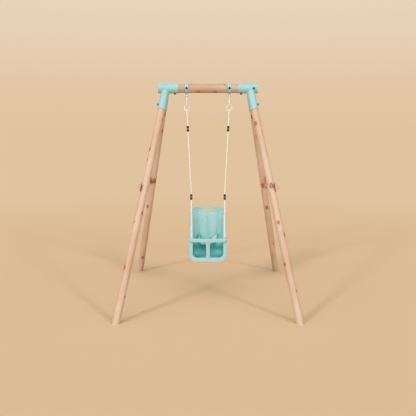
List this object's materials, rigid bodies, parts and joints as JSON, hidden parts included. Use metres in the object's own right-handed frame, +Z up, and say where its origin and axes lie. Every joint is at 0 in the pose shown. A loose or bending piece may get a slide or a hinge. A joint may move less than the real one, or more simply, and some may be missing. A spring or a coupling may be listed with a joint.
{
  "type": "baby swing",
  "caption": "Free-standing wooden A-frame swing with steel corner brackets, snap hooks, adjustable ropes and a moulded bucket seat with a sliding T-shaped guard.",
  "frame": {"origin": "on the ground, under the middle of the top beam", "axes": "+Z up, +X along the top beam, +Y to the back; the seat faces -Y"},
  "size_m": [1.441, 1.545, 1.8118],
  "materials": {
    "pine": "sanded bare pine",
    "teal_steel": "powder coat",
    "black_plastic": "matte",
    "zinc_steel": "zinc plated",
    "polished_steel": "galvanised, smooth",
    "nylon": "matte",
    "rope": "braided",
    "webbing": "woven",
    "buckle_plastic": "matte",
    "red_plastic": "gloss",
    "teal_plastic": "moulded satin"
  },
  "bodies": {
    "frame": {"top_beam": "pine", "leg_front_left": "pine", "leg_front_right": "pine", "leg_back_left": "pine", "leg_back_right": "pine", "bracket_left": "teal_steel", "bracket_right": "teal_steel", "side_rail_left": "pine", "side_rail_right": "pine", "hanger_left": "teal_steel", "hanger_right": "teal_steel", "hanger_bolts": "zinc_steel", "hanger_washers": "zinc_steel", "hanger_nuts": "zinc_steel", "pivot_pins": "zinc_steel", "pivot_bushes": "nylon", "bracket_screws": "zinc_steel", "rail_screws": "zinc_steel", "bracket_caps": "black_plastic", "hanger_caps": "black_plastic"},
    "swing": {"snap_hook_left": "polished_steel", "ring_left": "polished_steel", "main_rope_left": "rope", "rear_rope_left": "rope", "tail_knot_left": "rope", "arm_knot_left": "rope", "shoulder_knot_left": "rope", "upper_adjuster_left": "black_plastic", "lower_adjuster_left": "black_plastic", "belt_left": "webbing", "snap_hook_right": "polished_steel", "ring_right": "polished_steel", "main_rope_right": "rope", "rear_rope_right": "rope", "tail_knot_right": "rope", "arm_knot_right": "rope", "shoulder_knot_right": "rope", "upper_adjuster_right": "black_plastic", "lower_adjuster_right": "black_plastic", "belt_right": "webbing", "gate_pins": "zinc_steel", "seat_shell": "teal_plastic", "belt_anchors": "buckle_plastic", "buckle_housing": "buckle_plastic", "buckle_tongue": "buckle_plastic"},
    "guard": {"guard_bar": "teal_plastic"},
    "hook_gate_left": {"hook_gate_left": "polished_steel"},
    "hook_gate_right": {"hook_gate_right": "polished_steel"},
    "buckle_button": {"buckle_button": "red_plastic"}
  },
  "joints": [
    {"name": "swing_hinge", "type": "hinge", "parent": "frame", "child": "swing", "pos_m": [0, 0, 1.713], "axis": [1, 0, 0], "range_deg": [-40, 40]},
    {"name": "guard_slide", "type": "slide", "parent": "swing", "child": "guard", "axis": [0, 0.2822, 0.9594], "range_m": [0, 0.18]},
    {"name": "hook_gate_left_hinge", "type": "hinge", "parent": "swing", "child": "hook_gate_left", "pos_m": [-0.177, 0.0103, 1.649], "axis": [1, 0, 0], "range_deg": [0, 15], "stiffness_Nm_per_rad": 0.05, "springref_deg": -11.46},
    {"name": "hook_gate_right_hinge", "type": "hinge", "parent": "swing", "child": "hook_gate_right", "pos_m": [0.177, 0.0103, 1.649], "axis": [1, 0, 0], "range_deg": [0, 15], "stiffness_Nm_per_rad": 0.05, "springref_deg": -11.46},
    {"name": "button_press", "type": "slide", "parent": "swing", "child": "buckle_button", "axis": [0, 1, 0], "range_m": [0, 0.003], "stiffness_N_per_m": 300, "springref_m": -0.001}
  ]
}
